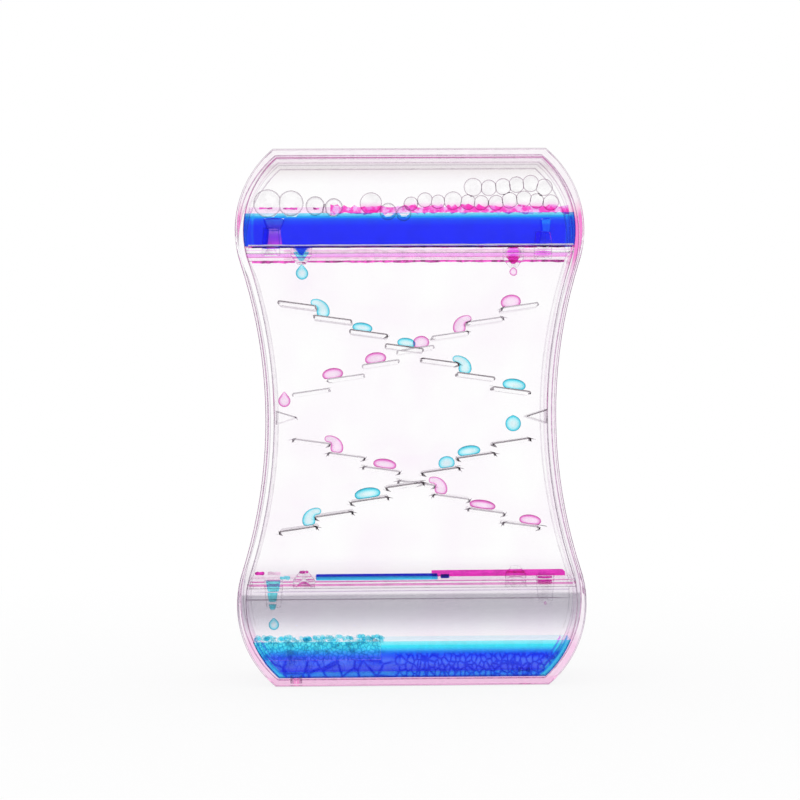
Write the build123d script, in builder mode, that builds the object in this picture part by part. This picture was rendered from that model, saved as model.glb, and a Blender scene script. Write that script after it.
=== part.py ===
from build123d import *

import os
from math import asin, atan, cos, degrees, radians, sin, sqrt

os.makedirs("parts", exist_ok=True)

# A liquid motion timer: a clear hourglass-shaped box that stands on either end.
# A centre partition splits it into a front chamber with blue liquid and a back
# chamber with pink liquid. Two nozzle plates cut each chamber into an upper end,
# a middle with two ramps of steps, and a lower end.
# Origin: middle of the bottom face. Front is -Y, up is +Z. Millimetres, degrees.

# Outside of the casing
height = 135.0
depth = 34.0
widest_width = 87.8
waist_draw = 7.4
bulge_radius = 26.7
bulge_to_end = 20.5
edge_radius = 0.6

# Walls of the casing
side_wall = 2.0
panel_thickness = 2.0
partition_thickness = 1.5

# Nozzle plates and their nozzles
plate_thickness = 1.9
plate_to_end = 26.3
drip_to_wall = 14.6
drip_mouth_diameter = 4.4
drip_collar_diameter = 5.5
drip_tip_diameter = 2.0
drip_bore = 0.9
drip_length = 2.3
drain_to_wall = 6.9
drain_mouth_diameter = 3.7
drain_collar_diameter = 4.7
drain_tip_diameter = 3.8
drain_bore = 1.5
drain_length = 5.1

# Steps of one ramp, and the deflector at the waist
step_count = 7
step_thickness = 1.2
step_overlap = 0.96
step_slope_share = 0.346
ramp_start_to_waist = 1.025
ramp_end_to_waist = 4.085
ramp_to_plate = 12.8
last_step_rise = 6.5
deflector_reach = 6.1
deflector_height = 5.0
deflector_nose_radius = 0.3

# Filling holes
plug_to_wall = 12.5
plug_diameter = 3.0
plug_chamfer = 0.3

# Liquids, measured up from the surface that each one lies on
blue_upper_depth = 8.4
pink_upper_depth = 11.2
blue_lower_depth = 9.1
pink_lower_depth = 7.5
foam_depth = 4.6
foam_edge_share = -0.19
foam_bubble_radius = 1.2
foam_pitch = 2.5
pool_depth = 1.0
pool_inset = 3.0
air_gap = 2.4
largest_bubble_radius = 3.5

# Drops, the film of oil under each, and the room for them in the oil
film = 0.1
drop_seat_share = 0.6
drop_width_share = 0.85
drape_shares = ((105, 0.7), (60, 0.82), (20, 1.12), (-15, 1.36))
lane_length = 16.0
lane_lead = 2.0
lane_width = 6.4
lane_height = 4.2
shaft_width = 4.6
drain_shaft_width = 3.6
waist_fall_to_wall = {"front": 8.4, "back": 2.0}

facing = {"front": 1, "back": -1}
mid_height = height / 2
bulge_rise = mid_height - bulge_to_end
bulge_x = widest_width / 2 - bulge_radius
waist_width = widest_width - 2 * waist_draw
waist_offset = waist_width / 2 - bulge_x
waist_radius = (bulge_rise**2 + waist_offset**2 - bulge_radius**2) / (2 * (bulge_radius - waist_offset))
chamber_depth = depth / 2 - panel_thickness - partition_thickness / 2
chamber_y = -(partition_thickness + chamber_depth) / 2
inner_half_width = widest_width / 2 - side_wall
inner_waist = waist_width / 2 - side_wall
drip_x = drip_to_wall - inner_half_width
drain_x = drain_to_wall - inner_half_width
plug_x = plug_to_wall - inner_half_width
plate_rise = mid_height - plate_to_end
floor_z = side_wall
plate_low_z = mid_height + plate_rise
plate_high_z = plate_low_z + plate_thickness
pool_floor_z = mid_height - plate_rise
lower_ceiling_z = pool_floor_z - plate_thickness
drip_tip_z = plate_low_z - drip_length
lower_drain_tip_z = lower_ceiling_z - drain_length
ramp_span = 2 * inner_waist - ramp_start_to_waist - ramp_end_to_waist
step_pitch = (ramp_span - step_overlap) / step_count
step_length = step_pitch + step_overlap
first_step_x = ramp_start_to_waist - inner_waist + step_length / 2
first_step_rise = plate_rise - ramp_to_plate
step_fall = (first_step_rise - last_step_rise) / (step_count - 1)
step_slope = degrees(atan(step_slope_share * step_fall / step_pitch))
# Square to the slope, a step's top lies this far above the next one's.
step_gap = step_fall * cos(radians(step_slope)) - step_pitch * sin(radians(step_slope))
on_floor = (Align.CENTER, Align.CENTER, Align.MIN)
chamber_plane = Plane.XZ.offset(partition_thickness / 2)
mid_plane = Plane.XY.offset(mid_height)


def side_y(side):
    return facing[side] * chamber_y


def save(piece, name):
    piece.part.label = name
    export_step(piece.part, f"parts/{name}.step")


def hourglass(inset):
    """The face inside the casing's outline, moved inwards by inset."""
    bulge = bulge_radius - inset
    waist = waist_radius + inset
    end = mid_height - inset
    end_x = bulge_x + sqrt(bulge**2 - (end - bulge_rise) ** 2)
    # The bulge and the waist are two arcs that meet on the line between their centres.
    join_share = bulge / (bulge + waist)
    join_x = bulge_x + join_share * (waist_width / 2 + waist_radius - bulge_x)
    join_rise = bulge_rise * (1 - join_share)
    side = (
        (end_x, end),
        (bulge_x + bulge, bulge_rise),
        (join_x, join_rise),
        (waist_width / 2 - inset, 0),
        (join_x, -join_rise),
        (bulge_x + bulge, -bulge_rise),
        (end_x, -end),
    )
    points = [(x, mid_height + z) for x, z in side]
    with BuildSketch() as face:
        with BuildLine():
            Line((0, mid_height + end), points[0])
            ThreePointArc(*points[0:3])
            ThreePointArc(*points[2:5])
            ThreePointArc(*points[4:7])
            Line(points[6], (0, mid_height - end))
            mirror(about=Plane.YZ)
        make_face()
    return face.sketch


def chamber_layer(side, low, high):
    """The stretch of a chamber between two heights, filled out to its walls."""
    with BuildPart() as layer:
        with BuildSketch(chamber_plane):
            add(hourglass(side_wall))
        extrude(amount=chamber_depth)
        split(bisect_by=Plane.XY.offset(low), keep=Keep.TOP)
        split(bisect_by=Plane.XY.offset(high), keep=Keep.BOTTOM)
    return turned(layer.part, side)


def turned(solid, side):
    """The solid as modelled for the front, or turned round for the back."""
    with BuildPart() as piece:
        add(solid, rotation=(0, 0, 180 if side == "back" else 0))
    return piece


def quarter(solid, side, level):
    """A front upper solid copied to one of the four quarters of the casing."""
    if level == "lower":
        solid = mirror(solid, about=mid_plane, mode=Mode.PRIVATE)
    return turned(solid, side)


# Front and back shells: a panel with the hourglass side wall standing on it
with BuildPart() as shell:
    with BuildSketch(chamber_plane):
        add(hourglass(0))
    extrude(amount=chamber_depth + panel_thickness)
    with BuildSketch(chamber_plane):
        add(hourglass(side_wall))
    extrude(amount=chamber_depth, mode=Mode.SUBTRACT)
    fillet(shell.faces().sort_by(Axis.Y)[0].edges(), radius=edge_radius)
    with BuildSketch(Plane.XY):
        with Locations((plug_x, chamber_y)):
            Circle(plug_diameter / 2)
    extrude(amount=side_wall, mode=Mode.SUBTRACT)

# Plug that is pressed into the filling hole, flush with the bottom face
with BuildPart() as plug:
    with BuildSketch(Plane.XY):
        with Locations((plug_x, chamber_y)):
            Circle(plug_diameter / 2)
    extrude(amount=side_wall)
    chamfer(plug.edges().filter_by(GeomType.CIRCLE).sort_by(Axis.Z)[-1], length=plug_chamfer)

# Centre partition, welded between the rims of the two shells
with BuildPart() as partition:
    with BuildSketch(chamber_plane):
        add(hourglass(0))
    extrude(amount=-partition_thickness)
save(partition, "centre_partition")


# Nozzles: a funnel bore inside a collar that tapers to a tip
def nozzle(x, mouth_z, face_z, tip_z, mouth, collar, tip, bore):
    """A nozzle through a plate, from its mouth past the plate's far face to its tip."""
    with BuildPart() as piece:
        with BuildSketch(Plane.XZ):
            with BuildLine():
                Polyline(
                    (mouth / 2, mouth_z),
                    (collar / 2, mouth_z),
                    (collar / 2, face_z),
                    (tip / 2, tip_z),
                    (bore / 2, tip_z),
                    (bore / 2, face_z),
                    close=True,
                )
            make_face()
        revolve(axis=Axis.Z)
    with BuildPart() as placed:
        with Locations((x, chamber_y)):
            add(piece.part)
    return placed


def drip_nozzle(mouth, bore):
    outside = (drip_collar_diameter, drip_tip_diameter)
    return nozzle(drip_x, plate_high_z, plate_low_z, drip_tip_z, mouth, *outside, bore)


def drain_nozzle(mouth, bore):
    tip_z = plate_high_z + drain_length
    outside = (drain_collar_diameter, drain_tip_diameter)
    return nozzle(drain_x, plate_low_z, plate_high_z, tip_z, mouth, *outside, bore)


drip = drip_nozzle(drip_mouth_diameter, drip_bore)
drain = drain_nozzle(drain_mouth_diameter, drain_bore)
drip_core = drip_nozzle(0, 0)
drain_core = drain_nozzle(0, 0)

# Nozzle plate between the upper end chamber and the middle
with BuildPart() as plate:
    add(chamber_layer("front", plate_low_z, plate_high_z).part)
    with BuildSketch(Plane.XY.offset(plate_low_z)):
        with Locations((drip_x, chamber_y)):
            Circle(drip_collar_diameter / 2)
        with Locations((drain_x, chamber_y)):
            Circle(drain_collar_diameter / 2)
    extrude(amount=plate_thickness, mode=Mode.SUBTRACT)

# Ramp of sloping steps, each a bar from the panel to the partition
with BuildPart() as steps:
    with BuildSketch(chamber_plane):
        for index in range(step_count):
            rise = first_step_rise - index * step_fall
            with Locations((first_step_x + index * step_pitch, mid_height + rise)):
                SlotOverall(step_length, step_thickness, rotation=-step_slope)
    extrude(amount=chamber_depth)

# Deflector: a wedge on the side wall at the waist that parts the drops from the wall
with BuildPart() as deflector:
    with BuildSketch(chamber_plane):
        with BuildLine():
            Polyline(
                (inner_waist - deflector_reach, mid_height),
                (inner_waist + side_wall, mid_height + deflector_height / 2),
                (inner_waist + side_wall, mid_height - deflector_height / 2),
                close=True,
            )
        make_face()
        fillet(vertices().sort_by(Axis.X)[0], radius=deflector_nose_radius)
    extrude(amount=chamber_depth)
    add(chamber_layer("front", pool_floor_z, plate_low_z).part, mode=Mode.INTERSECT)

for side in ("front", "back"):
    save(turned(shell.part, side), f"{side}_shell")
    save(turned(plug.part, side), f"{side}_fill_plug")
    save(turned(deflector.part, side), f"{side}_deflector")
    for level in ("upper", "lower"):
        save(quarter(plate.part, side, level), f"{side}_{level}_plate")
        save(quarter(drip.part, side, level), f"{side}_{level}_drip_nozzle")
        save(quarter(drain.part, side, level), f"{side}_{level}_drain_nozzle")
        save(quarter(steps.part, side, level), f"{side}_{level}_steps")


# Bubbles that float on the liquids of the upper ends
def bubble_raft(side, surface_z, table):
    """Bubbles from a table of shares: x, y, radius, and height above the surface."""
    with BuildPart() as raft:
        for x_share, y_share, radius_share, lift_share in table:
            radius = radius_share * largest_bubble_radius
            x = x_share * inner_half_width
            y = side_y(side) + y_share * chamber_depth
            with Locations((x, y, surface_z + lift_share * radius)):
                Sphere(radius)
    return raft


blue_surface_z = plate_high_z + blue_upper_depth
pink_surface_z = plate_high_z + pink_upper_depth
front_bubble_shares = (
    (-0.86, 0, 1.0, 0.86),
    (-0.72, -0.12, 0.86, 0.84),
    (-0.572, -0.2, 0.68, 0.8),
    (-0.46, -0.1, 0.64, 0.78),
    (-0.13, -0.2, 0.6, 0.55),
    (-0.035, -0.14, 0.52, 0.5),
)
back_bubble_shares = (
    (-0.235, -0.1, 0.8, 0.7),
    (0.02, 0.08, 0.52, 0.75),
    (0.102, -0.06, 0.5, 0.8),
    (0.184, 0.05, 0.48, 0.8),
    (0.276, -0.08, 0.62, 0.75),
    (0.368, 0.07, 0.52, 0.8),
    (0.45, -0.07, 0.52, 0.8),
    (0.542, 0.06, 0.5, 0.8),
    (0.626, -0.08, 0.56, 0.8),
    (0.716, 0.08, 0.52, 0.85),
    (0.79, -0.07, 0.52, 0.8),
    (0.882, 0.04, 0.56, 0.8),
    (0.4, -0.02, 0.62, 2.3),
    (0.5, 0.07, 0.48, 3.0),
    (0.586, -0.06, 0.5, 3.1),
    (0.67, 0.05, 0.5, 3.3),
    (0.76, -0.03, 0.56, 3.2),
    (0.85, 0.03, 0.58, 2.7),
)
front_bubbles = bubble_raft("front", blue_surface_z, front_bubble_shares)
back_bubbles = bubble_raft("back", pink_surface_z, back_bubble_shares)
save(front_bubbles, "front_bubbles")
save(back_bubbles, "back_bubbles")


# Liquid of an upper end, which also fills the funnel of the drip nozzle
def upper_liquid(side, surface_z, bubbles):
    with BuildPart() as liquid:
        add(chamber_layer(side, plate_low_z, surface_z).part)
        for carrier in (plate, drip, drain_core):
            add(turned(carrier.part, side).part, mode=Mode.SUBTRACT)
        add(bubbles.part, mode=Mode.SUBTRACT)
    return liquid


save(upper_liquid("front", blue_surface_z, front_bubbles), "blue_upper_liquid")
save(upper_liquid("back", pink_surface_z, back_bubbles), "pink_upper_liquid")

# Foam of small drops that have landed but not yet merged, at the left of the lower end
foam_top_z = floor_z + blue_lower_depth
foam_low_z = foam_top_z - foam_depth
with BuildPart() as foam:
    add(chamber_layer("front", foam_low_z, foam_top_z).part)
    split(bisect_by=Plane.YZ.offset(foam_edge_share * inner_half_width), keep=Keep.BOTTOM)
    foam_span = inner_half_width * (1 + foam_edge_share)
    columns = int(foam_span / foam_pitch) - 1
    rows = int(chamber_depth / foam_pitch)
    foam_x = (foam_edge_share - 1) * inner_half_width / 2
    with Locations((foam_x, chamber_y, foam_top_z)):
        with GridLocations(foam_pitch, foam_pitch, columns, rows):
            Sphere(foam_bubble_radius)
save(foam, "blue_foam")

# Liquid of the lower ends
with BuildPart() as blue_lower:
    add(chamber_layer("front", floor_z, foam_top_z).part)
    add(foam.part, mode=Mode.SUBTRACT)
save(blue_lower, "blue_lower_liquid")
pink_lower = chamber_layer("back", floor_z, floor_z + pink_lower_depth)
save(pink_lower, "pink_lower_liquid")


# Pools of liquid on the lower plates, waiting to run down through the drain nozzles
def pool(side, start_share, end_share):
    """A thin pool between two shares of the half width, kept back from the panel."""
    start = start_share * inner_half_width
    end = end_share * inner_half_width
    pool_width = chamber_depth - pool_inset
    pool_y = -facing[side] * (partition_thickness + pool_width) / 2
    with BuildPart() as piece:
        with BuildSketch(Plane.XY.offset(pool_floor_z)):
            with Locations(((start + end) / 2, pool_y)):
                RectangleRounded(end - start, pool_width, radius=pool_depth)
        extrude(amount=pool_depth)
        add(chamber_layer(side, pool_floor_z, plate_low_z).part, mode=Mode.INTERSECT)
        add(quarter(drip_core.part, side, "lower").part, mode=Mode.SUBTRACT)
    return piece


blue_pool = pool("front", -0.58, 0.16)
pink_pool = pool("back", 0.13, 0.95)
save(blue_pool, "blue_pool")
save(pink_pool, "pink_pool")


# Drops: each is made at the origin, travelling to +X, and then set in its place
def drop_ball(length, drop_height):
    """A drop that rests on a step: an egg with a flat underside at the origin."""
    radius = drop_height / (1 + drop_seat_share)
    width = drop_width_share * length
    seat_angle = degrees(asin(drop_seat_share))
    with BuildPart() as ball:
        with BuildSketch(Plane.XZ):
            with BuildLine():
                crown = EllipticalCenterArc(
                    (0, drop_seat_share * radius),
                    width / 2,
                    radius,
                    start_angle=-seat_angle,
                    arc_size=90 + seat_angle,
                )
                Polyline(crown @ 1, (0, 0), crown @ 0)
            make_face()
        revolve(axis=Axis.Z)
    with BuildPart() as drop:
        with Locations((0, 0, film)):
            add(scale(ball.part, by=(length / width, 1, 1), mode=Mode.PRIVATE))
    return drop


def drop_drape():
    """A drop that has run over a step's end, bent round it and down to the next step.

    The origin is on the step's top, at its end.
    """
    nose = step_thickness / 2
    seat = nose + film - step_gap
    with BuildPart() as drape:
        sections = []
        for angle, radius_share in drape_shares:
            radius = radius_share * step_thickness
            away = nose + film + radius
            out = Vector(cos(radians(angle)), 0, sin(radians(angle)))
            place = Vector(-nose, 0, -nose) + out * away
            along = Vector(out.Z, 0, -out.X)
            with BuildSketch(Plane(origin=place, x_dir=out, z_dir=along)) as section:
                Circle(radius)
            sections.append((place, radius))
        loft()
        for place, radius in (sections[0], sections[-1]):
            with Locations(place):
                Sphere(radius)
        split(bisect_by=Plane.XY.offset(seat - nose), keep=Keep.TOP)
    return drape


def drop_tear(width, length):
    """A falling drop: a ball that runs up to a point, with its foot at the origin."""
    radius = width / 2
    lift = length - radius
    touch = radius**2 / lift
    with BuildPart() as tear:
        with BuildSketch(Plane.XZ):
            with BuildLine():
                shoulder = (sqrt(radius**2 - touch**2), radius + touch)
                ThreePointArc((0, 0), (radius, radius), shoulder)
                Polyline(shoulder, (0, length), (0, 0))
            make_face()
        revolve(axis=Axis.Z)
    return tear


def step_frame(side, level, index, along):
    """Plane on a step's top, with X down the slope, `along` from the step's middle."""
    heading = facing[side] if level == "upper" else -facing[side]
    rise = first_step_rise - index * step_fall
    middle = Vector(
        facing[side] * (first_step_x + index * step_pitch),
        side_y(side),
        mid_height + (rise if level == "upper" else -rise),
    )
    slope = radians(step_slope)
    down = Vector(heading * cos(slope), 0, -sin(slope))
    out = Vector(heading * sin(slope), 0, cos(slope))
    return Plane(origin=middle + out * step_thickness / 2 + down * along, x_dir=down, z_dir=out)


def resting(side, level, index, along_share, length_share, height_share):
    """A drop on a step, from shares of the step's half length and of its length."""
    drop = drop_ball(length_share * step_length, height_share * step_length)
    with BuildPart() as placed:
        with Locations(step_frame(side, level, index, along_share * step_length / 2)):
            add(drop.part)
    return placed


def draped(side, level, index):
    with BuildPart() as placed:
        with Locations(step_frame(side, level, index, step_length / 2)):
            add(drop_drape().part)
    return placed


def falling(side, x, foot_z, width_share, length_share):
    """A falling drop whose foot is at x and foot_z, from shares of the step's length."""
    drop = drop_tear(width_share * step_length, length_share * step_length)
    with BuildPart() as placed:
        with Locations((facing[side] * x, side_y(side), foot_z)):
            add(drop.part)
    return placed


blue_drops = (
    falling("front", drip_x, drip_tip_z - 0.375 * step_length, 0.31, 0.4),
    draped("front", "upper", 0),
    resting("front", "upper", 2, -0.36, 0.51, 0.205),
    resting("front", "upper", 3, 0.08, 0.46, 0.205),
    draped("front", "upper", 4),
    resting("front", "upper", 6, 0.15, 0.59, 0.25),
    falling("front", inner_waist - waist_fall_to_wall["front"], mid_height - 0.58 * last_step_rise, 0.39, 0.42),
    resting("front", "lower", 5, 0.29, 0.58, 0.23),
    resting("front", "lower", 4, -0.38, 0.41, 0.28),
    resting("front", "lower", 2, 0.06, 0.66, 0.25),
    draped("front", "lower", 1),
    falling("front", drain_x, lower_drain_tip_z - 0.57 * step_length, 0.26, 0.33),
)
pink_drops = (
    falling("back", drip_x, drip_tip_z - 0.21 * step_length, 0.2, 0.23),
    resting("back", "upper", 0, 0.36, 0.52, 0.3),
    draped("back", "upper", 1),
    resting("back", "upper", 3, -0.36, 0.42, 0.28),
    resting("back", "upper", 4, 0.22, 0.55, 0.26),
    resting("back", "upper", 5, 0.66, 0.54, 0.25),
    falling("back", inner_waist - waist_fall_to_wall["back"], mid_height + 0.436 * last_step_rise, 0.31, 0.42),
    draped("back", "lower", 6),
    resting("back", "lower", 4, 0.14, 0.6, 0.23),
    draped("back", "lower", 3),
    resting("back", "lower", 1, -0.19, 0.68, 0.21),
    resting("back", "lower", 0, 0.5, 0.57, 0.23),
    falling("back", drain_x, lower_drain_tip_z - 0.11 * step_length, 0.08, 0.12),
)
for colour, drops in (("blue", blue_drops), ("pink", pink_drops)):
    for number, drop in enumerate(drops, start=1):
        save(drop, f"{colour}_drop_{number}")


# Clear oil that fills a middle chamber and most of a lower end around all of these.
# Its solid leaves a lane over each ramp and a shaft at each fall, where the drops run.
def lanes(side):
    """Everything in the oil's way that a drop can pass through."""
    with BuildPart() as space:
        for level in ("upper", "lower"):
            for index in range(step_count):
                with Locations(step_frame(side, level, index, lane_lead)):
                    Box(lane_length, lane_width, lane_height, align=on_floor)
        for x, width, low_rise, high_rise in (
            (drip_x, shaft_width, first_step_rise, plate_rise),
            (inner_waist - waist_fall_to_wall[side], shaft_width, -last_step_rise, last_step_rise),
            (drain_x, drain_shaft_width, -mid_height, -plate_rise),
        ):
            with Locations((facing[side] * x, side_y(side), mid_height + low_rise)):
                Box(width, lane_width, high_rise - low_rise, align=on_floor)
    return space


def oil(side, lower_end, settled):
    with BuildPart() as body:
        add(chamber_layer(side, pool_floor_z, plate_low_z).part)
        add(chamber_layer(side, lower_end, lower_ceiling_z - air_gap).part)
        add(turned(deflector.part, side).part, mode=Mode.SUBTRACT)
        for level in ("upper", "lower"):
            for inner in (steps, drip_core, drain_core):
                add(quarter(inner.part, side, level).part, mode=Mode.SUBTRACT)
        for piece in settled:
            add(piece.part, mode=Mode.SUBTRACT)
        add(lanes(side).part, mode=Mode.SUBTRACT)
    return body


save(oil("front", foam_top_z, (blue_pool, foam)), "front_oil")
save(oil("back", floor_z + pink_lower_depth, (pink_pool,)), "back_oil")
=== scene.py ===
import random
from math import cos, radians, sin, sqrt

import bpy
from mathutils import Matrix, Vector


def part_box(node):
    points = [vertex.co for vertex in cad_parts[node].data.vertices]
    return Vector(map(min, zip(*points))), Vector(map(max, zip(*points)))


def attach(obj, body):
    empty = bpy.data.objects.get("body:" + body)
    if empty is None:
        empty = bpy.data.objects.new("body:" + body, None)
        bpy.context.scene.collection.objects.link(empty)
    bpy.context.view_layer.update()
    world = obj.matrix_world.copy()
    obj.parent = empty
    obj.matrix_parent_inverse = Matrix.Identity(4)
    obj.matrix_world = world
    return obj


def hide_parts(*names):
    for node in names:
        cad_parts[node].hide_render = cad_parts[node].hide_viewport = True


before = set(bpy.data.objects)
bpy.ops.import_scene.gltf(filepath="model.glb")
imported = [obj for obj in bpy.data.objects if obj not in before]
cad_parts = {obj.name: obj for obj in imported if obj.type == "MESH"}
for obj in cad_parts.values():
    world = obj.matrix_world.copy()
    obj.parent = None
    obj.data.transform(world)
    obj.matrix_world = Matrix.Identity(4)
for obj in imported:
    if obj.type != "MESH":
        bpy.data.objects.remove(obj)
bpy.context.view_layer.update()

mm = 0.001

# Studio
# A white sweep: a pale floor that runs on without an edge, under even white light. The
# camera stands half a metre off, level with the waist, and a touch to the left.
casing_low, casing_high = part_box("front_shell")
front_y = casing_low.y
mid_z = casing_high.z / 2
camera_distance = 470 * mm
camera_turn = radians(-1.0)
camera_roll = radians(0.35)
picture_pixels = 800
camera_data = bpy.data.cameras.new("camera")
camera_data.lens = 84.3
camera_data.sensor_width = 36
camera_data.shift_x = -11 / picture_pixels
camera_data.shift_y = 17 / picture_pixels
camera_data.clip_start = 10 * mm
camera = bpy.data.objects.new("camera", camera_data)
camera.location = (
    camera_distance * sin(camera_turn),
    front_y - camera_distance * cos(camera_turn),
    mid_z,
)
camera.rotation_euler = (radians(90), camera_roll, camera_turn)
bpy.context.scene.collection.objects.link(camera)
bpy.context.scene.camera = camera


def seen_ray(nodes, links):
    """1 for a ray from the camera, straight or through clear plastic, and 0 for any other."""
    ray = nodes.new("ShaderNodeLightPath")
    seen = nodes.new("ShaderNodeMath")
    seen.operation = "MAXIMUM"
    links.new(ray.outputs["Is Camera Ray"], seen.inputs[0])
    links.new(ray.outputs["Is Transmission Ray"], seen.inputs[1])
    return seen.outputs["Value"]


floor_size = 6
floor_drop = 0.1 * mm
paper_white = (0.92, 0.92, 0.92, 1)
shadow_reach = 0.05
shadow_end = 0.3
glow_in_shadow = 0.88
bpy.ops.object.select_all(action="DESELECT")
bpy.ops.mesh.primitive_plane_add(size=floor_size, location=(0, 0, -floor_drop))
floor = bpy.context.object
floor.name = "floor"
floor_paper = bpy.data.materials.new("floor_paper")
floor_paper.use_nodes = True
nodes, links = floor_paper.node_tree.nodes, floor_paper.node_tree.links
paper = nodes["Principled BSDF"]
paper.inputs["Base Color"].default_value = paper_white
paper.inputs["Roughness"].default_value = 0.8
glow = nodes.new("ShaderNodeEmission")
place = nodes.new("ShaderNodeTexCoord")
far = nodes.new("ShaderNodeVectorMath")
far.operation = "LENGTH"
links.new(place.outputs["Object"], far.inputs[0])
fade = nodes.new("ShaderNodeMapRange")
fade.inputs["From Min"].default_value = shadow_reach
fade.inputs["From Max"].default_value = shadow_end
fade.inputs["To Min"].default_value = glow_in_shadow
fade.inputs["To Max"].default_value = 1.0
links.new(far.outputs["Value"], fade.inputs["Value"])
share = nodes.new("ShaderNodeMath")
share.operation = "MULTIPLY"
links.new(seen_ray(nodes, links), share.inputs[0])
links.new(fade.outputs["Result"], share.inputs[1])
blend = nodes.new("ShaderNodeMixShader")
links.new(share.outputs["Value"], blend.inputs["Fac"])
links.new(paper.outputs[0], blend.inputs[1])
links.new(glow.outputs[0], blend.inputs[2])
links.new(blend.outputs[0], nodes["Material Output"].inputs["Surface"])
floor.data.materials.append(floor_paper)

world = bpy.data.worlds.new("studio")
world.use_nodes = True
bpy.context.scene.world = world
nodes, links = world.node_tree.nodes, world.node_tree.links
light = nodes["Background"]
light.inputs["Color"].default_value = (0.92, 0.92, 0.93, 1)
white = nodes.new("ShaderNodeBackground")
white.inputs["Color"].default_value = (1, 1, 1, 1)
blend = nodes.new("ShaderNodeMixShader")
links.new(seen_ray(nodes, links), blend.inputs["Fac"])
links.new(light.outputs[0], blend.inputs[1])
links.new(white.outputs[0], blend.inputs[2])
links.new(blend.outputs[0], nodes["World Output"].inputs["Surface"])

# Light passes many clear faces, and from above it runs to and fro between the panels.
scene = bpy.context.scene
scene.view_settings.view_transform = "Standard"
scene.cycles.max_bounces = 160
scene.cycles.transmission_bounces = 160
scene.cycles.transparent_max_bounces = 16


# Casing halves
# Two clear halves, each a panel with the side wall standing on it, injection moulded in one
# shot of clear plastic. Their inner corners show as thin mauve and magenta lines of painted shade
# and painted pink light.
def activate(piece):
    """Selects a piece and nothing else."""
    bpy.ops.object.select_all(action="DESELECT")
    piece.select_set(True)
    bpy.context.view_layer.objects.active = piece


def merged_copy(node, name):
    """A new piece with the shape of a node, its loose triangles joined at their corners."""
    piece = bpy.data.objects.new(name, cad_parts[node].data.copy())
    bpy.context.scene.collection.objects.link(piece)
    piece.data.materials.clear()
    activate(piece)
    bpy.ops.object.mode_set(mode="EDIT")
    bpy.ops.mesh.select_all(action="SELECT")
    bpy.ops.mesh.remove_doubles(threshold=0.001 * mm)
    bpy.ops.mesh.customdata_custom_splitnormals_clear()
    bpy.ops.object.mode_set(mode="OBJECT")
    return piece


def flatten(piece):
    """Joins the triangles of each flat face into one face."""
    activate(piece)
    bpy.ops.object.mode_set(mode="EDIT")
    bpy.ops.mesh.select_all(action="SELECT")
    bpy.ops.mesh.dissolve_limited(angle_limit=radians(0.05))
    bpy.ops.object.mode_set(mode="OBJECT")


def at(value, plane, slack=0.1 * mm):
    """Whether a coordinate lies on a plane, give or take a little."""
    return abs(value - plane) < slack


def round_edges(piece, belongs, radius, slot, segments=2):
    """Rounds the sharp edges whose two ends both pass the test, and gives them a slot."""
    sharp_below = 0.9
    activate(piece)
    bpy.ops.object.mode_set(mode="EDIT")
    bpy.ops.mesh.select_mode(type="EDGE")
    bpy.ops.mesh.select_all(action="DESELECT")
    bpy.ops.object.mode_set(mode="OBJECT")
    mesh = piece.data
    sides = {}
    for face in mesh.polygons:
        for key in face.edge_keys:
            sides.setdefault(key, []).append(face.normal.copy())
    for edge in mesh.edges:
        normals = sides.get(edge.key, [])
        sharp = len(normals) == 2 and normals[0].dot(normals[1]) < sharp_below
        ends = [mesh.vertices[index].co for index in edge.vertices]
        edge.select = sharp and belongs(ends[0]) and belongs(ends[1])
    bpy.ops.object.mode_set(mode="EDIT")
    bpy.ops.mesh.bevel(offset=radius, segments=segments, affect="EDGES")
    bpy.ops.object.mode_set(mode="OBJECT")
    for face in mesh.polygons:
        if face.select and 0.05 < abs(face.normal.y) < 0.99:
            face.material_index = slot


def screen(red, green, blue):
    """The colour that shows as these 0 to 255 values."""
    return tuple(
        value / 255 / 12.92 if value < 11 else ((value / 255 + 0.055) / 1.055) ** 2.4
        for value in (red, green, blue)
    )


def once(red, green, blue):
    """The tint for a face that the light passes once on its way, not in and out."""
    return tuple(value**2 for value in screen(red, green, blue))


def multiplied(nodes, links, tint, other):
    """A node that multiplies one tint by another."""
    product = nodes.new("ShaderNodeMix")
    product.data_type = "RGBA"
    product.blend_type = "MULTIPLY"
    product.inputs["Factor"].default_value = 1
    links.new(tint, product.inputs["A"])
    links.new(other, product.inputs["B"])
    return product


def colour_stops(ramp, stops):
    """Sets a colour ramp to a list of (position, colour)."""
    elements = ramp.color_ramp.elements
    while len(elements) > 1:
        elements.remove(elements[-1])
    elements[0].position = stops[0][0]
    elements[0].color = (*stops[0][1], 1)
    for position, colour in stops[1:]:
        element = elements.new(position)
        element.color = (*colour, 1)


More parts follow.
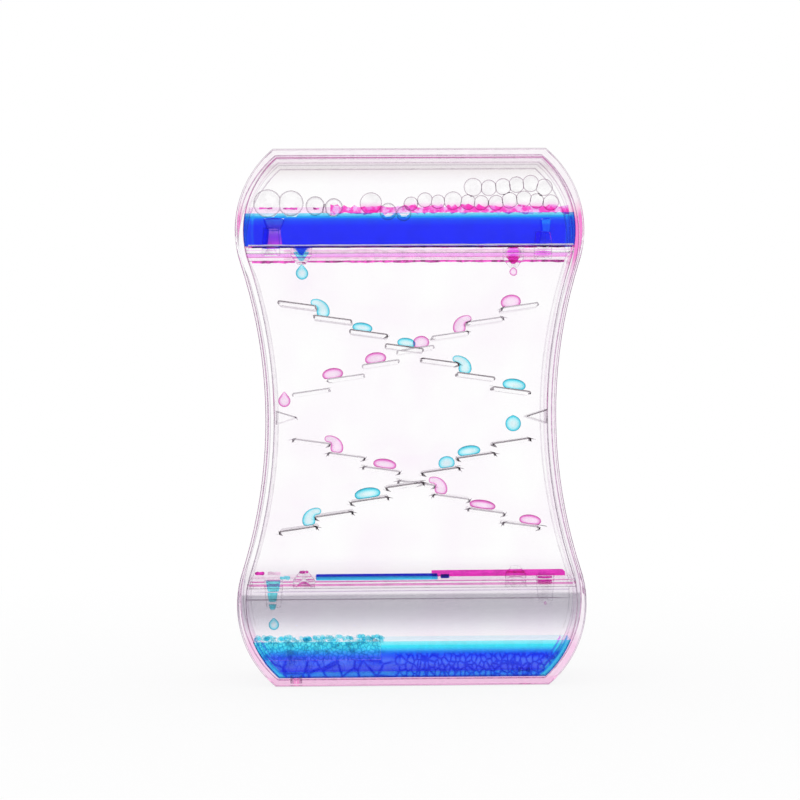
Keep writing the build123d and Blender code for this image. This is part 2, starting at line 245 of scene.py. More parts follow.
def clear_plastic(
    name, ior, face, edge, start=0.8, end=0.98, heights=None, mottle=0.04, grain=400
):
    """Clear plastic: face is its tint seen square on, edge its tint at a glancing view.

    The tint turns from one to the other between start and end, where 0 is square on and 1
    along the face. heights gives stops of (height in mm, tint) over the timer's own height,
    and mottle is how much the tint varies in small clouds of a size that grain sets.
    """
    material = bpy.data.materials.new(name)
    material.use_nodes = True
    nodes, links = material.node_tree.nodes, material.node_tree.links
    shader = nodes["Principled BSDF"]
    shader.inputs["Transmission Weight"].default_value = 1
    shader.inputs["Roughness"].default_value = 0
    shader.inputs["IOR"].default_value = ior
    view = nodes.new("ShaderNodeLayerWeight")
    by_view = nodes.new("ShaderNodeValToRGB")
    by_view.name = "by_view"
    colour_stops(by_view, [(start, face), (end, edge)])
    links.new(view.outputs["Facing"], by_view.inputs["Fac"])
    place = nodes.new("ShaderNodeTexCoord")
    clouds = nodes.new("ShaderNodeTexNoise")
    clouds.inputs["Scale"].default_value = grain
    clouds.inputs["Detail"].default_value = 2
    links.new(place.outputs["Object"], clouds.inputs["Vector"])
    by_cloud = nodes.new("ShaderNodeValToRGB")
    by_cloud.name = "by_cloud"
    dim = 1 - mottle
    colour_stops(by_cloud, [(0.42, (1, 1, 1)), (0.62, (dim, dim * 0.99, dim))])
    links.new(clouds.outputs["Fac"], by_cloud.inputs["Fac"])
    tinted = multiplied(nodes, links, by_view.outputs["Color"], by_cloud.outputs["Color"])
    if heights:
        split = nodes.new("ShaderNodeSeparateXYZ")
        links.new(place.outputs["Object"], split.inputs["Vector"])
        rise = nodes.new("ShaderNodeMath")
        rise.operation = "DIVIDE"
        rise.inputs[1].default_value = casing_high.z
        links.new(split.outputs["Z"], rise.inputs[0])
        by_height = nodes.new("ShaderNodeValToRGB")
        colour_stops(by_height, [(z * mm / casing_high.z, tint) for z, tint in heights])
        links.new(rise.outputs["Value"], by_height.inputs["Fac"])
        tinted = multiplied(nodes, links, tinted.outputs["Result"], by_height.outputs["Color"])
    links.new(tinted.outputs["Result"], shader.inputs["Base Color"])
    return material


# A refractive index that hardly bends the light, for faces that touch oil or water.
unbent = 1.001


def even_tint(name, tint, ior=unbent, mottle=0.2, grain=400):
    """Clear plastic or liquid whose tint is the same from every side."""
    return clear_plastic(name, ior, tint, tint, mottle=mottle, grain=grain)


def add_materials(piece, materials):
    """Gives a piece its materials, the first in slot 0."""
    for material in materials:
        piece.data.materials.append(material)


clear = (1.0, 1.0, 1.0)
fine_grain = 900
# Pink near the bottom of the panels, and in bands on the side walls by the dyed waters, is painted
# pink light: the dyes' colour carried along the clear plastic.
panel_pink_light_heights = [
    (0, once(255, 224, 244)),
    (2.0, once(255, 224, 244)),
    (2.6, clear),
    (133, clear),
]
wall_pink_light_heights = [
    (0, once(254, 236, 248)),
    (2, once(255, 222, 245)),
    (9, once(255, 212, 242)),
    (12.5, once(253, 246, 252)),
    (24, once(252, 248, 252)),
    (100, once(253, 250, 253)),
    (106, once(250, 215, 240)),
    (109, once(252, 142, 218)),
    (119, once(253, 135, 216)),
    (123, once(254, 250, 253)),
    (135, once(254, 251, 253)),
]
casing_skin = clear_plastic(
    "casing_skin", 1.3, clear, screen(215, 205, 215), 0.9, 1.0, panel_pink_light_heights, 0.005, 60
)
# The grey on the rounded outer edges is painted shade, the dark outline that clear plastic shows at
# its edge.
casing_rim_shade = clear_plastic(
    "casing_rim_shade", 1.02, once(228, 222, 228), once(186, 177, 187), 0.45, 0.95
)
casing_inside = clear_plastic(
    "casing_inside", 1.01, clear, screen(250, 246, 250), 0.9, 1.0, None, 0.005, 60
)
# The inner corner lines are painted: grey and mauve for the shade in the corners, and magenta at the
# dyes' heights for their pink light.
front_corner_shade_and_pink = clear_plastic(
    "front_corner_shade_and_pink", 1.005, clear, clear, heights=[
        (0, once(225, 150, 205)),
        (20, once(198, 192, 200)),
        (66, once(205, 200, 206)),
        (72, once(205, 150, 190)),
        (78, once(208, 204, 209)),
        (100, once(212, 206, 213)),
        (118, once(228, 150, 208)),
        (128, once(200, 180, 198)),
        (131, once(205, 120, 182)),
    ], mottle=0.25, grain=fine_grain,
)
back_corner_shade = clear_plastic(
    "back_corner_shade", 1.002, clear, clear, heights=[
        (0, clear),
        (12, clear),
        (20, once(240, 236, 240)),
        (108, once(240, 236, 240)),
        (118, once(226, 218, 226)),
        (135, once(224, 216, 224)),
    ], mottle=0.2,
)
seam_line = even_tint("seam_line", once(244, 232, 242), 1.002, 0.2, fine_grain)
casing_wall = clear_plastic(
    "casing_wall", unbent, clear, screen(252, 249, 252), 0.6, 1.0, wall_pink_light_heights, 0.12, 700
)

panel_thickness = 2 * mm
corner_radius = 0.32 * mm
rim_radius = 0.2 * mm
skin_slot, rim_shade_slot, inside_slot, corner_shade_slot, seam_slot, wall_slot = range(6)
for side in ("front", "back"):
    shell = merged_copy(f"{side}_shell", f"{side}_casing_half")
    flatten(shell)
    corner = front_corner_shade_and_pink if side == "front" else back_corner_shade
    add_materials(
        shell, (casing_skin, casing_rim_shade, casing_inside, corner, seam_line, casing_wall)
    )
    low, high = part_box(f"{side}_shell")
    outer_y = low.y if side == "front" else high.y
    rim_y = high.y if side == "front" else low.y
    panel_y = outer_y + (panel_thickness if side == "front" else -panel_thickness)
    round_edges(shell, lambda co: at(co.y, panel_y, 0.02 * mm), corner_radius, corner_shade_slot)
    round_edges(shell, lambda co: at(co.y, rim_y, 0.02 * mm), rim_radius, seam_slot, 1)
    for face in shell.data.polygons:
        if face.material_index in (corner_shade_slot, seam_slot):
            continue
        out = face.normal
        from_axis = Vector((face.center.x, 0, face.center.z - mid_z))
        if abs(out.y) > 0.99:
            face.material_index = skin_slot if at(face.center.y, outer_y) else inside_slot
        elif abs(out.y) > 0.02:
            face.material_index = skin_slot if abs(out.y) > 0.8 else rim_shade_slot
        else:
            face.material_index = wall_slot if out.dot(from_axis) > 0 else inside_slot
    activate(shell)
    bpy.ops.object.shade_smooth_by_angle(angle=radians(20))
    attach(shell, "casing")
    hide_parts(f"{side}_shell")


# Partition and filling plugs
# A flat clear sheet of the casing's own outline, welded in between the two halves' rims.
# Two round plugs of the same plastic close the holes that the liquids are filled through.
def fitted(node, name, gap=0.04 * mm):
    """A joined copy of a node, drawn in by a hair so that no face lies on a neighbour's."""
    piece = merged_copy(node, name)
    draw_in = piece.modifiers.new("draw_in", "DISPLACE")
    draw_in.strength = -gap
    draw_in.mid_level = 0
    bpy.ops.object.modifier_apply(modifier=draw_in.name)
    flatten(piece)
    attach(piece, "casing")
    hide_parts(node)
    return piece


# Behind the lower ends the sheet is tinted grey, up to the plates, and a little under the top:
# painted shade, not a colour of the plastic.
partition = fitted("centre_partition", "partition")
partition_shade_heights = [
    (0, clear),
    (9.5, clear),
    (10.7, screen(250, 248, 250)),
    (12.2, screen(243, 240, 245)),
    (13.8, screen(228, 225, 232)),
    (15.3, screen(211, 208, 217)),
    (16.9, screen(197, 194, 203)),
    (18.4, screen(190, 187, 196)),
    (21.9, screen(187, 183, 192)),
    (22.1, screen(236, 230, 238)),
    (27, screen(240, 236, 240)),
    (30, screen(252, 250, 252)),
    (32, clear),
    (127.5, clear),
    (129.5, screen(250, 248, 249)),
    (131.0, screen(241, 237, 237)),
    (132.6, screen(227, 222, 225)),
    (133.5, screen(248, 244, 247)),
]
partition_sheet = clear_plastic(
    "partition_sheet", 1.01, clear, screen(240, 226, 238), 0.9, 1.0, partition_shade_heights, 0.005, 60
)
add_materials(partition, (partition_sheet, seam_line))
partition_edge = 0.25 * mm
edge_slot = 1
round_edges(partition, lambda co: True, partition_edge, edge_slot, 1)
for side in ("front", "back"):
    plug = fitted(f"{side}_fill_plug", f"{side}_plug")
    plug.data.materials.append(casing_inside)


# Nozzle plates
# Clear plates moulded across each chamber at both ends. Lines along their lower corners are
# painted: grey shade at the front, and further back pink and magenta light of the dyes seen through
# the plastic.
def film_strip(name, left, right, low, high, y, thick, material, waves, uneven, seed):
    """A thin strip of film against a wall, its edges rounded. In mm.

    It is cut across as often as waves says, and each cut end rises or sinks by up to uneven.
    """
    centre = ((left + right) / 2 * mm, y * mm, (low + high) / 2 * mm)
    size = ((right - left) * mm, thick * mm, (high - low) * mm)
    edge_radius = min(thick, high - low) * 0.4 * mm
    bpy.ops.object.select_all(action="DESELECT")
    bpy.ops.mesh.primitive_cube_add(size=1, location=centre, scale=size)
    piece = bpy.context.object
    piece.name = name
    bpy.ops.object.transform_apply(location=True, rotation=True, scale=True)
    bpy.ops.object.mode_set(mode="EDIT")
    bpy.ops.mesh.bevel(offset=edge_radius, segments=2, affect="EDGES")
    bpy.ops.mesh.select_all(action="DESELECT")
    bpy.ops.object.mode_set(mode="OBJECT")
    for edge in piece.data.edges:
        a, b = (piece.data.vertices[index].co for index in edge.vertices)
        edge.select = abs(a.x - b.x) > 0.8 * (right - left) * mm
    bpy.ops.object.mode_set(mode="EDIT")
    bpy.ops.mesh.select_mode(type="EDGE")
    bpy.ops.mesh.subdivide(number_cuts=waves)
    bpy.ops.object.mode_set(mode="OBJECT")
    shake = random.Random(seed)
    rises = {}
    for vertex in piece.data.vertices:
        column = round(vertex.co.x / mm, 1)
        upper = vertex.co.z > centre[2]
        if (column, upper) not in rises:
            rises[column, upper] = shake.uniform(-uneven, uneven) * mm
        vertex.co.z += rises[column, upper]
    piece.data.materials.append(material)
    bpy.ops.object.shade_smooth_by_angle(angle=radians(50))
    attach(piece, "casing")
    return piece


front_plate_plastic = clear_plastic(
    "front_plate_plastic", 1.005, clear, screen(248, 240, 248), 0.85, 0.99
)
back_plate_plastic = clear_plastic(
    "back_plate_plastic", 1.005, clear, screen(250, 222, 243), 0.85, 0.99
)
# Painted lines for the plates' lower corners: grey is painted shade, pink and magenta are painted
# light of the dyed waters.
plate_grey_shade_line = even_tint("plate_grey_shade_line", once(205, 196, 206), 1.005)
plate_pink_light_line = even_tint("plate_pink_light_line", once(250, 190, 232), 1.005, 0.3)
plate_magenta_light_line = even_tint("plate_magenta_light_line", once(240, 130, 210), 1.005, 0.5, 1200)
front_line_radius = 0.22 * mm
back_line_radius = 0.3 * mm
front_line_slot, back_line_slot = 1, 2
for side in ("front", "back"):
    for level in ("upper", "lower"):
        plate = fitted(f"{side}_{level}_plate", f"{side}_{level}_plate_clear")
        if side == "front":
            add_materials(plate, (front_plate_plastic, plate_grey_shade_line, plate_pink_light_line))
        else:
            add_materials(plate, (back_plate_plastic, plate_pink_light_line, plate_magenta_light_line))
        low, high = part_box(f"{side}_{level}_plate")
        round_edges(
            plate, lambda co: at(co.y, low.y) and at(co.z, low.z),
            front_line_radius, front_line_slot, 1,
        )
        round_edges(
            plate, lambda co: at(co.y, high.y) and at(co.z, low.z),
            back_line_radius, back_line_slot, 1,
        )

# An opaque white strip along the front of the upper plates, with a faint blue mottle: a painted
# highlight on the plates' edge.
white_painted_highlight = bpy.data.materials.new("white_painted_highlight")
white_painted_highlight.use_nodes = True
nodes, links = white_painted_highlight.node_tree.nodes, white_painted_highlight.node_tree.links
shader = nodes["Principled BSDF"]
shader.inputs["Roughness"].default_value = 0.35
shader.inputs["Specular IOR Level"].default_value = 0.2
place = nodes.new("ShaderNodeTexCoord")
clouds = nodes.new("ShaderNodeTexNoise")
clouds.inputs["Scale"].default_value = fine_grain
clouds.inputs["Detail"].default_value = 2
links.new(place.outputs["Object"], clouds.inputs["Vector"])
by_cloud = nodes.new("ShaderNodeValToRGB")
colour_stops(by_cloud, [(0.4, (0.95, 0.95, 1.0)), (0.6, (0.85, 0.84, 0.97))])
links.new(clouds.outputs["Fac"], by_cloud.inputs["Fac"])
links.new(by_cloud.outputs["Color"], shader.inputs["Base Color"])

dark_blue_film = clear_plastic(
    "dark_blue_film", unbent, screen(30, 30, 190), screen(30, 30, 170), mottle=0.3
)
magenta_film = clear_plastic(
    "magenta_film", unbent, screen(252, 110, 218), screen(235, 60, 190), mottle=0.65, grain=700
)
pale_pink_film = clear_plastic(
    "pale_pink_film", unbent, screen(255, 222, 244), screen(250, 200, 236), mottle=0.2
)
front_film_y = -14.92
back_film_y = 14.9
film_thickness = 0.06
# Strips by the upper plates, all painted light: a white highlight, the blue water's underside seen
# through the front plate as a dark blue line, and the pink water seen through the back plate as
# magenta lines and a pale pink haze.
for name, left, right, low_z, high_z, y, film, waves, uneven, seed in (
    ("upper_plate_highlight", -40.6, 41.2, 110.68, 111.0, front_film_y, white_painted_highlight, 30, 0.05, 3),
    ("upper_plate_blue_seen_through", -39.6, 41.0, 110.18, 110.55, front_film_y, dark_blue_film, 30, 0.06, 4),
    ("upper_pink_seen_through_left", -40.5, -29.2, 108.25, 109.0, back_film_y, magenta_film, 12, 0.12, 5),
    ("upper_pink_seen_through", -27.2, 41.0, 108.3, 109.0, back_film_y, magenta_film, 40, 0.14, 6),
    ("upper_pink_light_haze", -32.0, 36.0, 109.6, 110.3, back_film_y, pale_pink_film, 30, 0.15, 7),
):
    film_strip(name, left, right, low_z, high_z, y, film_thickness, film, waves, uneven, seed)


# Nozzles
# A short funnel drips liquid through each plate and a taller one drains the other way. Both
# are turned from clear plastic and glued in, and dye stands in the ones in use.
nozzle_plastic = clear_plastic(
    "nozzle_plastic", 1.01, clear, screen(178, 166, 184), 0.55, 0.95, mottle=0.12
)
for side in ("front", "back"):
    for level in ("upper", "lower"):
        for kind in ("drip_nozzle", "drain_nozzle"):
            nozzle = fitted(f"{side}_{level}_{kind}", f"{side}_{level}_{kind}_clear")
            nozzle.data.materials.append(nozzle_plastic)
            activate(nozzle)
            bpy.ops.object.shade_smooth_by_angle(angle=radians(35))


def cup(name, x, y, low, high, low_radius, high_radius, depth, material):
    """Liquid in a nozzle: a round taper, so many times as deep as it is wide. In mm."""
    bpy.ops.object.select_all(action="DESELECT")
    bpy.ops.mesh.primitive_cone_add(
        vertices=32,
        radius1=low_radius * mm,
        radius2=high_radius * mm,
        depth=(high - low) * mm,
        location=(x * mm, y * mm, (low + high) / 2 * mm),
        scale=(1, depth, 1),
    )
    piece = bpy.context.object
    piece.name = name
    bpy.ops.object.transform_apply(location=True, rotation=True, scale=True)
    brim_radius = 0.15 * mm
    round_edges(piece, lambda co: True, brim_radius, 0)
    piece.data.materials.append(material)
    bpy.ops.object.shade_smooth_by_angle(angle=radians(35))
    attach(piece, "casing")
    return piece


purple_water = clear_plastic(
    "purple_water", unbent, clear, (0.6, 0.6, 0.9), heights=[
        (110.6, (1.0, 0.3, 0.75)),
        (111.3, (0.6, 0.3, 0.85)),
        (112.4, (0.3, 0.22, 0.88)),
        (114.2, (0.2, 0.2, 0.88)),
        (114.6, (0.4, 0.8, 0.95)),
        (115.1, (0.24, 0.5, 0.9)),
        (115.3, (0.05, 0.13, 0.68)),
        (117.6, (0.03, 0.2, 0.85)),
    ], mottle=0.1,
)
cyan_water = clear_plastic(
    "cyan_water", unbent, screen(135, 252, 255), screen(50, 215, 250), 0.4, 0.95,
    mottle=0.15, grain=fine_grain,
)
teal_water = clear_plastic(
    "teal_water", unbent, screen(120, 240, 250), screen(30, 170, 205), 0.4, 0.95,
    mottle=0.2, grain=fine_grain,
)
magenta_water = clear_plastic(
    "magenta_water", unbent, screen(250, 60, 205), screen(225, 30, 180), 0.3, 0.9,
    mottle=0.5, grain=fine_grain,
)
azure_water = clear_plastic(
    "azure_water", unbent, clear, (0.5, 0.8, 1), heights=[
        (110.9, (0.05, 1.0, 1.0)),
        (111.8, (0.04, 0.9, 1.0)),
        (112.3, (0.012, 0.5, 1.0)),
        (117.5, (0.012, 0.45, 1.0)),
    ], mottle=0.1,
)
front_middle_y = -7.9
back_middle_y = 7.9
cup("drip_dye_blue", -27.3, front_middle_y, 107.4, 109.6, 0.5, 2.0, 1, cyan_water)
cup("drip_dye_pink", 27.3, back_middle_y, 107.4, 109.4, 0.5, 1.9, 1, magenta_water)
cup("lower_drain_cup", -35.1, front_middle_y, 23.4, 26.0, 1.35, 1.85, 1, cyan_water)
cup("lower_drain_neck", -35.3, front_middle_y, 20.8, 23.0, 0.9, 1.3, 1, cyan_water)
cup("lower_drain_tip", -35.3, front_middle_y, 18.8, 20.1, 0.6, 1.0, 1, teal_water)
cup("back_drain_foot", 34.9, back_middle_y, 24.4, 25.2, 1.9, 1.9, 1, magenta_water)


# Steps
# Seven clear bars a ramp, moulded across each chamber from panel to partition. Their rounded
# tops throw the light aside and look dark, and their undersides hardly show.
step_side = even_tint("step_side", clear, mottle=0.03)
front_step_top = clear_plastic(
    "front_step_top", unbent, once(158, 151, 156), once(150, 143, 149), mottle=0.2, grain=700
)
front_step_under = even_tint("front_step_under", once(226, 222, 226), mottle=0.1)
back_step_top = clear_plastic(
    "back_step_top", unbent, once(198, 193, 198), once(194, 189, 194), mottle=0.15, grain=700
)
back_step_under = even_tint("back_step_under", once(240, 237, 240), 1.005, 0.1)
step_plastics = {
    "front": (step_side, front_step_top, front_step_under),
    "back": (step_side, back_step_top, back_step_under),
}
side_slot, top_slot, under_slot = range(3)
step_edge = 0.38 * mm
for side in ("front", "back"):
    for level in ("upper", "lower"):
        steps = fitted(f"{side}_{level}_steps", f"{side}_{level}_steps_clear")
        low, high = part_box(f"{side}_{level}_steps")
        add_materials(steps, step_plastics[side])
        round_edges(steps, lambda co: at(co.y, low.y), step_edge, top_slot, 1)
        for face in steps.data.polygons:
            out = face.normal
            if abs(out.y) > 0.95:
                face.material_index = side_slot
            elif out.z > 0.15:
                face.material_index = top_slot if abs(out.y) > 0.05 else under_slot
            elif out.z > -0.75:
                face.material_index = top_slot if abs(out.x) > 0.3 else side_slot
            else:
                face.material_index = under_slot
        activate(steps)
        bpy.ops.object.shade_smooth_by_angle(angle=radians(30))


# Deflectors
# A small clear wedge on the side wall at the waist of each chamber, moulded with the wall. It
# turns each drop from the upper ramp on to the lower one.
wedge_edge = 0.36 * mm
for side in ("front", "back"):
    wedge = fitted(f"{side}_deflector", f"{side}_deflector_clear")
    low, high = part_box(f"{side}_deflector")
    add_materials(wedge, step_plastics[side])
    round_edges(wedge, lambda co: at(co.y, low.y), wedge_edge, top_slot, 1)
    for face in wedge.data.polygons:
        out = face.normal
        if abs(out.y) > 0.95:
            face.material_index = side_slot
        elif out.z > 0 and abs(out.y) > 0.05:
            face.material_index = top_slot
        else:
            face.material_index = under_slot


# Liquids in the upper ends
# Water with a strong dye. The blue one is deep blue, and cyan where it thins out at its rim.
# The pink one is magenta, pale in the froth at its surface. The drain nozzles stand in both.
def face_tints(piece, before, behind, surface, base, ends):
    """Tints for the faces to the front, to the back, on top, underneath and at the ends."""
    add_materials(piece, (before, behind, surface, base, ends))
    before_slot, behind_slot, surface_slot, base_slot, ends_slot = range(5)
    for face in piece.data.polygons:
        out = face.normal
        if abs(out.y) > 0.5:
            face.material_index = before_slot if out.y < 0 else behind_slot
        elif abs(out.z) > 0.75:
            face.material_index = surface_slot if out.z > 0 else base_slot
        else:
            face.material_index = ends_slot


def blend_in(material, weight, tint):
    """Mixes a tint over a material's own one by a 0 to 1 socket."""
    nodes, links = material.node_tree.nodes, material.node_tree.links
    shader = nodes["Principled BSDF"]
    mix = nodes.new("ShaderNodeMix")
    mix.data_type = "RGBA"
    mix.inputs["B"].default_value = (*tint, 1)
    links.new(weight, mix.inputs["Factor"])
    links.new(shader.inputs["Base Color"].links[0].from_socket, mix.inputs["A"])
    links.new(mix.outputs["Result"], shader.inputs["Base Color"])


end_round_x = 17.2
upper_round_z = 114.5
lower_round_z = 20.5


def toward_wall(material, centre_z, tint, stops):
    """A tint near the round side walls: stops of (mm from the round's centre, weight)."""
    furthest = 30
    below_all = -10000
    nodes, links = material.node_tree.nodes, material.node_tree.links
    place = nodes.new("ShaderNodeTexCoord")
    both = nodes.new("ShaderNodeVectorMath")
    both.operation = "ABSOLUTE"
    links.new(place.outputs["Object"], both.inputs[0])
    shift = nodes.new("ShaderNodeMapping")
    shift.inputs["Location"].default_value = (-end_round_x, 0, -centre_z)
    shift.inputs["Scale"].default_value = (1 / mm, 0, 1 / mm)
    links.new(both.outputs["Vector"], shift.inputs["Vector"])
    outward = nodes.new("ShaderNodeVectorMath")
    outward.operation = "MAXIMUM"
    outward.inputs[1].default_value = (0, below_all, below_all)
    links.new(shift.outputs["Vector"], outward.inputs[0])
    reach = nodes.new("ShaderNodeVectorMath")
    reach.operation = "LENGTH"
    links.new(outward.outputs["Vector"], reach.inputs[0])
    share = nodes.new("ShaderNodeMath")
    share.operation = "DIVIDE"
    share.inputs[1].default_value = furthest
    links.new(reach.outputs["Value"], share.inputs[0])
    weights = nodes.new("ShaderNodeValToRGB")
    colour_stops(weights, [(away / furthest, (weight,) * 3) for away, weight in stops])
    links.new(share.outputs["Value"], weights.inputs["Fac"])
    blend_in(material, weights.outputs["Color"], tint)


def leave_clear(material, x, low, high, low_half, high_half):
    """A clear window in the tint where a nozzle shows through it, tapered. In mm."""
    nodes, links = material.node_tree.nodes, material.node_tree.links
    place = nodes.new("ShaderNodeTexCoord")
    split = nodes.new("ShaderNodeSeparateXYZ")
    links.new(place.outputs["Object"], split.inputs["Vector"])
    off = nodes.new("ShaderNodeMath")
    off.operation = "SUBTRACT"
    off.inputs[1].default_value = x * mm
    links.new(split.outputs["X"], off.inputs[0])
    away = nodes.new("ShaderNodeMath")
    away.operation = "ABSOLUTE"
    links.new(off.outputs["Value"], away.inputs[0])
    half = nodes.new("ShaderNodeMapRange")
    half.inputs["From Min"].default_value = low * mm
    half.inputs["From Max"].default_value = high * mm
    half.inputs["To Min"].default_value = low_half * mm
    half.inputs["To Max"].default_value = high_half * mm
    links.new(split.outputs["Z"], half.inputs["Value"])
    within = nodes.new("ShaderNodeMath")
    within.operation = "LESS_THAN"
    links.new(away.outputs["Value"], within.inputs[0])
    links.new(half.outputs["Result"], within.inputs[1])
    level = nodes.new("ShaderNodeMath")
    level.operation = "COMPARE"
    level.inputs[1].default_value = (low + high) / 2 * mm
    level.inputs[2].default_value = (high - low) / 2 * mm
    links.new(split.outputs["Z"], level.inputs[0])
    inside = nodes.new("ShaderNodeMath")
    inside.operation = "MULTIPLY"
    links.new(within.outputs["Value"], inside.inputs[0])
    links.new(level.outputs["Value"], inside.inputs[1])
    blend_in(material, inside.outputs["Value"], clear)


blue_water = clear_plastic(
    "blue_water", unbent, clear, clear, heights=[
        (110.6, once(30, 92, 252)),
        (117.5, once(30, 98, 252)),
        (118.0, once(25, 140, 245)),
        (118.3, once(40, 222, 252)),
        (118.8, once(170, 252, 255)),
    ], mottle=0.1, grain=250,
)
toward_wall(
    blue_water, upper_round_z, once(30, 175, 250),
    [(22.0, 0), (22.4, 0.75), (22.8, 0.1), (24.0, 0.5), (24.6, 0.9)],
)
for x, low_z, high_z, low_half, high_half in (
    (-34.0, 110.7, 115.15, 2.0, 1.45),
    (-34.0, 115.15, 117.6, 1.5, 2.45),
    (34.3, 111.0, 114.25, 1.6, 0.85),
    (34.4, 114.25, 117.2, 0.85, 1.15),
):
    leave_clear(blue_water, x, low_z, high_z, low_half, high_half)
bubble_foot_z = 118.0
blue_surface_z = 119.0
foot_share = 0.55
for x, half in ((-35.5, 2.5), (-29.7, 2.1), (-19.2, 1.3), (-5.3, 1.5), (-1.3, 1.4)):
    leave_clear(blue_water, x, bubble_foot_z, blue_surface_z, half * foot_share, half)
water_clear = even_tint("water_clear", clear, mottle=0.02)
blue_surface = even_tint("blue_surface", screen(165, 245, 255))
blue_base = clear_plastic(
    "blue_base", unbent, screen(40, 80, 240), screen(30, 60, 220), mottle=0.1
)
blue_ends = clear_plastic(
    "blue_ends", unbent, screen(50, 80, 250), screen(205, 240, 255), 0.45, 0.8, mottle=0.1
)
pink_water = clear_plastic(
    "pink_water", unbent, clear, clear, heights=[
        (110.6, (1, 0.22, 1)),
        (118.4, (1, 0.22, 1)),
        (118.7, (1, 0.97, 1)),
        (121.0, (1, 0.86, 1)),
        (121.8, (1, 0.72, 0.98)),
    ], mottle=0.0, grain=500,
)
pink_surface = clear_plastic("pink_surface", unbent, (1, 0.8, 0.97), (1, 0.75, 0.97), mottle=0.15)
pink_ends = clear_plastic("pink_ends", unbent, (1, 0.2, 0.9), (1, 0.8, 0.98), 0.45, 0.8, mottle=0.15)
upper_gap = 0.12 * mm
blue_upper = fitted("blue_upper_liquid", "blue_upper_water", upper_gap)
face_tints(blue_upper, blue_water, water_clear, blue_surface, blue_base, blue_ends)
pink_upper = fitted("pink_upper_liquid", "pink_upper_water", upper_gap)
face_tints(pink_upper, pink_water, pink_water, pink_surface, pink_ends, pink_ends)
froth_film = clear_plastic(
    "froth_film", unbent, screen(253, 90, 205), screen(250, 70, 195), grain=700
)
colour_stops(
    froth_film.node_tree.nodes["by_cloud"],
    [(0.42, (1, 1, 1)), (0.5, (1, 2.4, 1.2)), (0.6, (1, 6, 1.6))],
)
froth_y = 0.81
froth_thickness = 0.05
for name, left, right, low_z, high_z, film, waves, uneven, seed in (
    ("froth_line", -20.0, 41.4, 119.98, 122.0, froth_film, 70, 0.5, 8),
    ("froth_dash_1", -38.2, -34.9, 121.3, 121.75, magenta_film, 4, 0.12, 21),
    ("froth_dash_2", -32.1, -28.5, 121.2, 121.6, magenta_film, 4, 0.12, 22),
    ("froth_dash_3", -24.4, -22.9, 121.1, 121.6, magenta_film, 2, 0.12, 23),
):
    film_strip(
        name, left, right, low_z, high_z, froth_y, froth_thickness, film, waves, uneven, seed
    )
for name, x, low_z, high_z, low_radius, high_radius, depth, water in (
    ("drain_dye", -34.25, 111.0, 115.12, 2.22, 1.68, 2.6, purple_water),
    ("drain_oil_column", -34.25, 115.2, 117.85, 1.72, 2.75, 2.2, purple_water),
    ("back_drain_view", 34.6, 111.0, 114.2, 1.85, 1.05, 3.0, azure_water),
    ("back_drain_column", 34.7, 114.25, 117.5, 1.05, 1.4, 4.0, azure_water),
):
    cup(name, x, front_middle_y, low_z, high_z, low_radius, high_radius, depth, water)


# Bubbles
# Clear bubbles with a thin skin of oil. Large ones lie pressed against the front panel and
# sink a little into the blue, and a raft of small ones floats in two rows on the pink.
def joined(group, name):
    """One piece made of a group of them."""
    activate(group[0])
    for piece in group:
        piece.select_set(True)
    bpy.ops.object.join()
    group[0].name = name
    return group[0]


long_skin = clear_plastic(
    "long_bubble_skin", unbent, clear, screen(160, 140, 158), 0.7, 0.97, mottle=0.1
)
small_skin = clear_plastic(
    "small_bubble_skin", unbent, clear, screen(150, 112, 142), 0.55, 0.9, heights=[
        (121.5, screen(255, 130, 225)),
        (122.5, screen(255, 205, 242)),
        (123.5, clear),
    ], mottle=0.1,
)
front_bubbles = [
    (-35.9, 122.0, 3.56), (-30.0, 122.0, 3.24), (-23.8, 121.3, 2.42), (-19.1, 120.9, 2.29),
    (-21.4, 120.6, 1.1), (-5.3, 119.8, 2.16), (-1.3, 119.3, 1.91),
]
back_bubbles = [
    (-9.6, 123.3, 2.86), (0.8, 123.1, 1.9), (4.4, 124.1, 2.0), (7.8, 123.6, 1.9),
    (11.7, 123.9, 2.4), (15.6, 123.5, 2.05), (19.0, 123.3, 2.0), (22.9, 123.3, 2.05),
    (26.4, 123.9, 2.15), (30.1, 124.3, 2.1), (33.4, 123.7, 2.0), (37.1, 123.3, 2.1),
    (16.9, 127.4, 2.4), (21.0, 127.2, 2.1), (24.7, 127.5, 2.15), (28.2, 128.0, 2.1),
    (31.9, 128.3, 2.2), (35.4, 127.3, 2.2),
]
pressed_in = 0.05
half_film = 0.03
